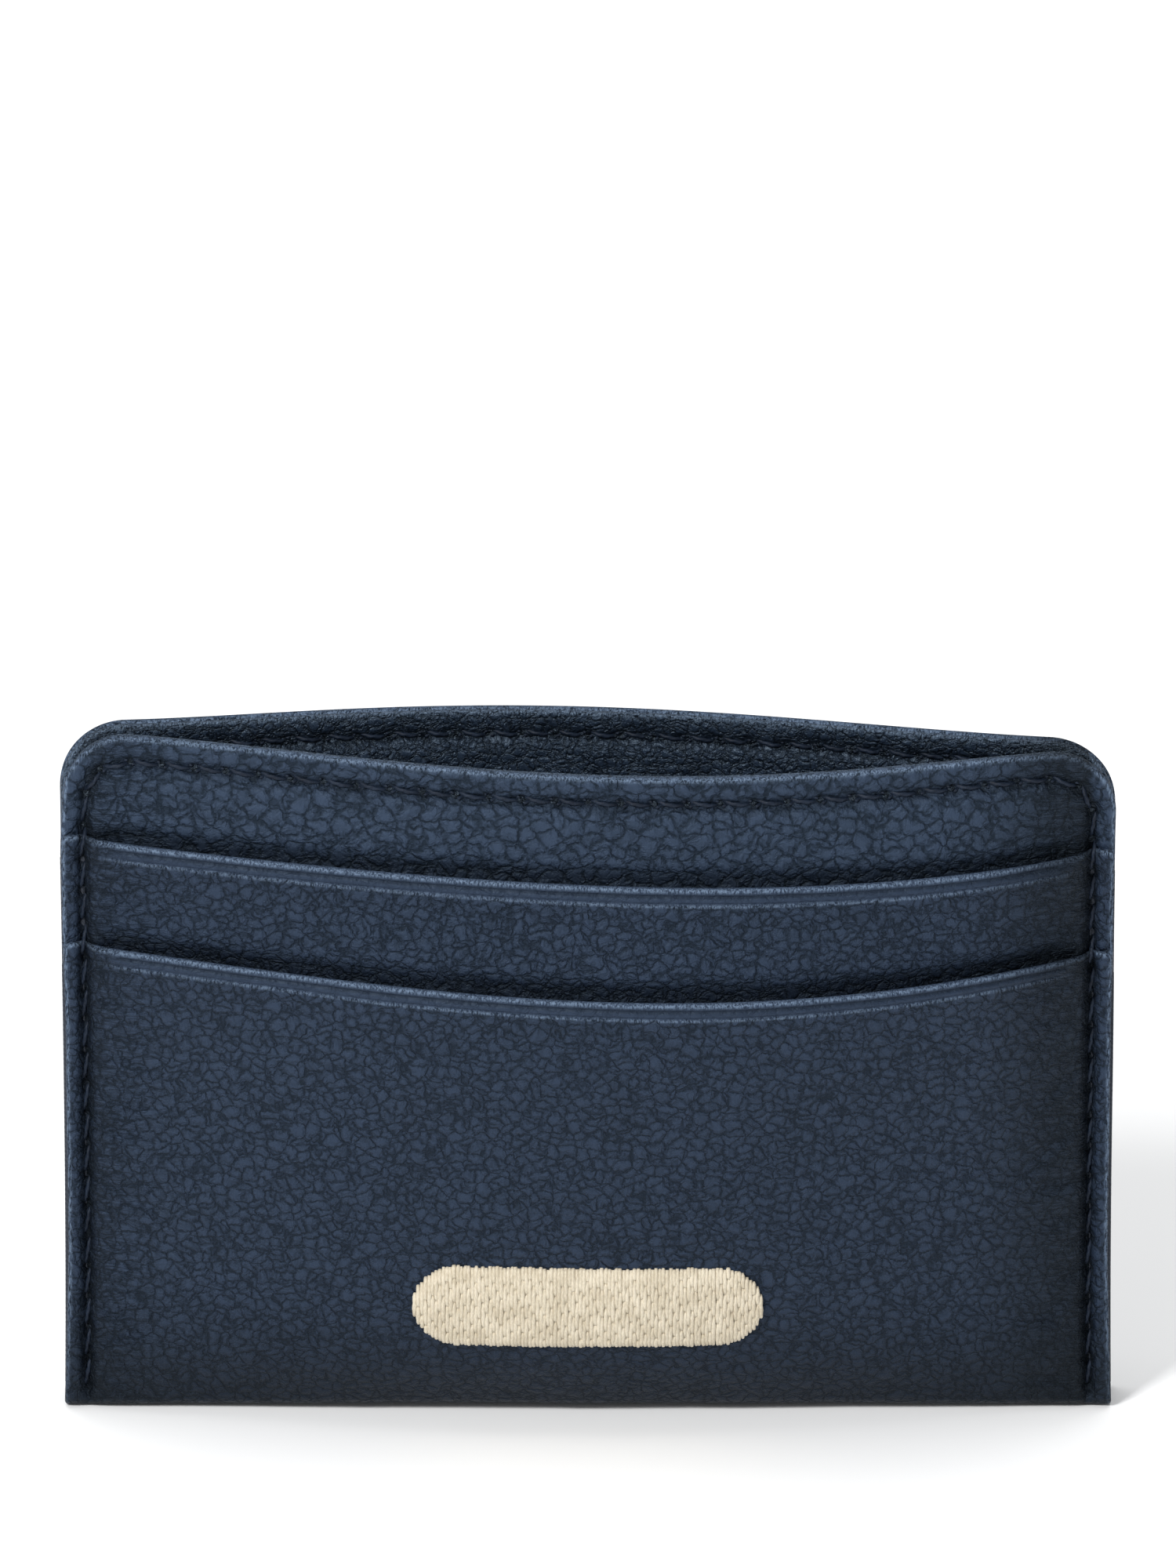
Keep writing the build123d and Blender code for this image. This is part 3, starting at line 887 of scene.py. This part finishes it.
RIM_START = SIDE_HOLES - 1
RIM_END = len(HOLES[FRONT]) - SIDE_HOLES + 1
for word, seam in (("left", slice(0, SIDE_HOLES)), ("right", slice(RIM_END - 1, None))):
    sew(f"{word}_side_stitching",
        *(stitch_paths(HOLES[side][seam], on_outside(side), 0.26 * side) for side in (FRONT, BACK)))

for word, side in SIDES.items():
    rim = HOLES[side][RIM_START:RIM_END]
    sew(f"{word}_rim_stitching", stitch_paths(rim, on_outside(side), 0.2 * side),
        stitch_paths(rim[1:-1], on_sheet(LINING, side), -0.24 * side))
    base_row = np.stack([np.linspace(-43, 43, 28), np.full(28, 12.0)], 1)
    sew(f"{word}_slot_base_stitching",
        stitch_paths(base_row, on_sheet(UPPER_POCKET, side, 0.12), 0.1, 0.15), thickness=0.4)


# ------------------------------------------------------------------ embroidery
BAR_HALF = 17.0
BAR_RADIUS = 4.5
BAR_HEIGHT = 13.5
BAR_PITCH = 0.35
SATIN_LENGTH = 2.9
SHORTEST = 0.8
SATIN_RADIUS = 0.27
BAR_DOME = 0.42
NEEDLE_DIMPLE = 0.13
BACKING_BORDER = 1.5


def bar_reach(x):
    """Half height of the bar's rounded outline at x."""
    over = np.maximum(np.abs(x) - (BAR_HALF - BAR_RADIUS), 0)
    return np.sqrt(np.maximum(BAR_RADIUS**2 - over**2, 0))


def satin_lines():
    """Upright columns of short stitches, staggered from one column to the next."""
    rng = np.random.default_rng(23)
    starts, ends = [], []
    for column in range(round(2 * BAR_HALF / BAR_PITCH)):
        x = -BAR_HALF + (column + 0.5) * BAR_PITCH
        reach = float(bar_reach(x)) + rng.uniform(-0.12, 0.12)
        cuts = [-reach]
        z = -BAR_RADIUS - SATIN_LENGTH * ((column * 0.382) % 1.0)
        while z < reach - SHORTEST:
            if z > -reach + SHORTEST:
                cuts.append(z)
            z += SATIN_LENGTH * rng.uniform(0.92, 1.08)
        cuts.append(reach)
        drift = rng.uniform(-0.05, 0.05, len(cuts))
        points = np.stack([x + drift, cuts], 1)
        starts.append(points[:-1])
        ends.append(points[1:])
    return np.concatenate(starts), np.concatenate(ends)


def embroider():
    """Satin stitches over a low dome, each one dipping into the cloth at its ends."""
    starts, ends = satin_lines()
    t = np.linspace(0, 1, 9)
    line = starts[:, None] + (ends - starts)[:, None] * t[:, None]
    x, z = line[..., 0], line[..., 1]
    inside = np.clip(1 - np.abs(z) / np.maximum(bar_reach(x), 0.6), 0, 1)
    from_end = np.clip((BAR_HALF + 0.3 - np.abs(x)) / 2.2, 0, 1)
    dome = BAR_DOME * np.sqrt(inside * (2 - inside)) * np.sqrt(from_end * (2 - from_end))
    dimple = NEEDLE_DIMPLE * (hill(t, 0, 0.09) + hill(t, 1, 0.09))
    spots = place(WRAP, FRONT, x, z + BAR_HEIGHT)
    outward = unit(place(WRAP, FRONT, x, z + BAR_HEIGHT, 1.0) - spots)
    spots[..., 1] -= dome + 0.06 - dimple
    radii = SATIN_RADIUS * (0.72 + 0.28 * np.sin(math.pi * t) ** 0.5)
    tubes("embroidered_bar", spots, outward, radii, CREAM_THREAD, sides=8,
          twist=2.6, lobe=0.1)


def backing_skin(gap):
    """A patch on the inner face of the wrap, behind the embroidery."""
    x, z = np.meshgrid(np.linspace(-1, 1, 25) * (BAR_HALF + BACKING_BORDER),
                       BAR_HEIGHT + np.linspace(-1, 1, 9) * (BAR_RADIUS + BACKING_BORDER))
    _, middle, half, _, _ = skin(WRAP, FRONT, x, top_line(FRONT, WRAP.top, x) - z)
    return np.stack([x, middle + half + gap, z], -1)


embroider()
backing = shell("embroidery_backing", backing_skin(0.01), backing_skin(0.05), {}, BACKING_CLOTH)


# ------------------------------------------------------------------ floor, light and camera
def area_light(name, spot, target, width, height, power):
    data = bpy.data.lights.new(name, "AREA")
    data.shape = "RECTANGLE"
    data.size = width
    data.size_y = height
    data.energy = power
    lamp = bpy.data.objects.new(name, data)
    bpy.context.scene.collection.objects.link(lamp)
    lamp.location = spot
    lamp.rotation_euler = (Vector(target) - lamp.location).to_track_quat("-Z", "Y").to_euler()


floor_mesh = bpy.data.meshes.new("floor")
work = bmesh.new()
bmesh.ops.create_grid(work, x_segments=1, y_segments=1, size=4.0)
work.to_mesh(floor_mesh)
work.free()
floor = bpy.data.objects.new("floor", floor_mesh)
bpy.context.scene.collection.objects.link(floor)
floor_paint = Recipe("floor_paint")
floor_mesh.materials.append(floor_paint.finish(rgb(0.94, 0.94, 0.94), 0.9, Specular_IOR_Level=0.1))

world = bpy.data.worlds.new("studio")
bpy.context.scene.world = world
world.use_nodes = True
world.node_tree.nodes["Background"].inputs["Color"].default_value = (0.96, 0.98, 1.0, 1.0)
world.node_tree.nodes["Background"].inputs["Strength"].default_value = 0.36

CENTRE = (0.0, 0.0, 0.035)
area_light("key", (-0.55, -0.70, 0.80), CENTRE, 0.3, 0.3, 12.0)
area_light("top", (0.0, 0.25, 1.0), CENTRE, 1.2, 0.8, 7.0)
area_light("fill", (0.8, -0.8, 0.4), CENTRE, 0.8, 0.8, 1.5)

ELEVATION = math.radians(22)
DISTANCE = 1.6
RISE = 0.0595
lens = bpy.data.cameras.new("camera")
lens.lens = 378
lens.sensor_width = 36
camera = bpy.data.objects.new("camera", lens)
bpy.context.scene.collection.objects.link(camera)
aim = Vector((0, math.sin(ELEVATION), math.cos(ELEVATION))) * RISE
camera.location = aim + Vector((0, -math.cos(ELEVATION), math.sin(ELEVATION))) * DISTANCE
camera.rotation_euler = (math.pi / 2 - ELEVATION, 0, 0)
bpy.context.scene.camera = camera
bpy.context.scene.view_settings.view_transform = "Standard"
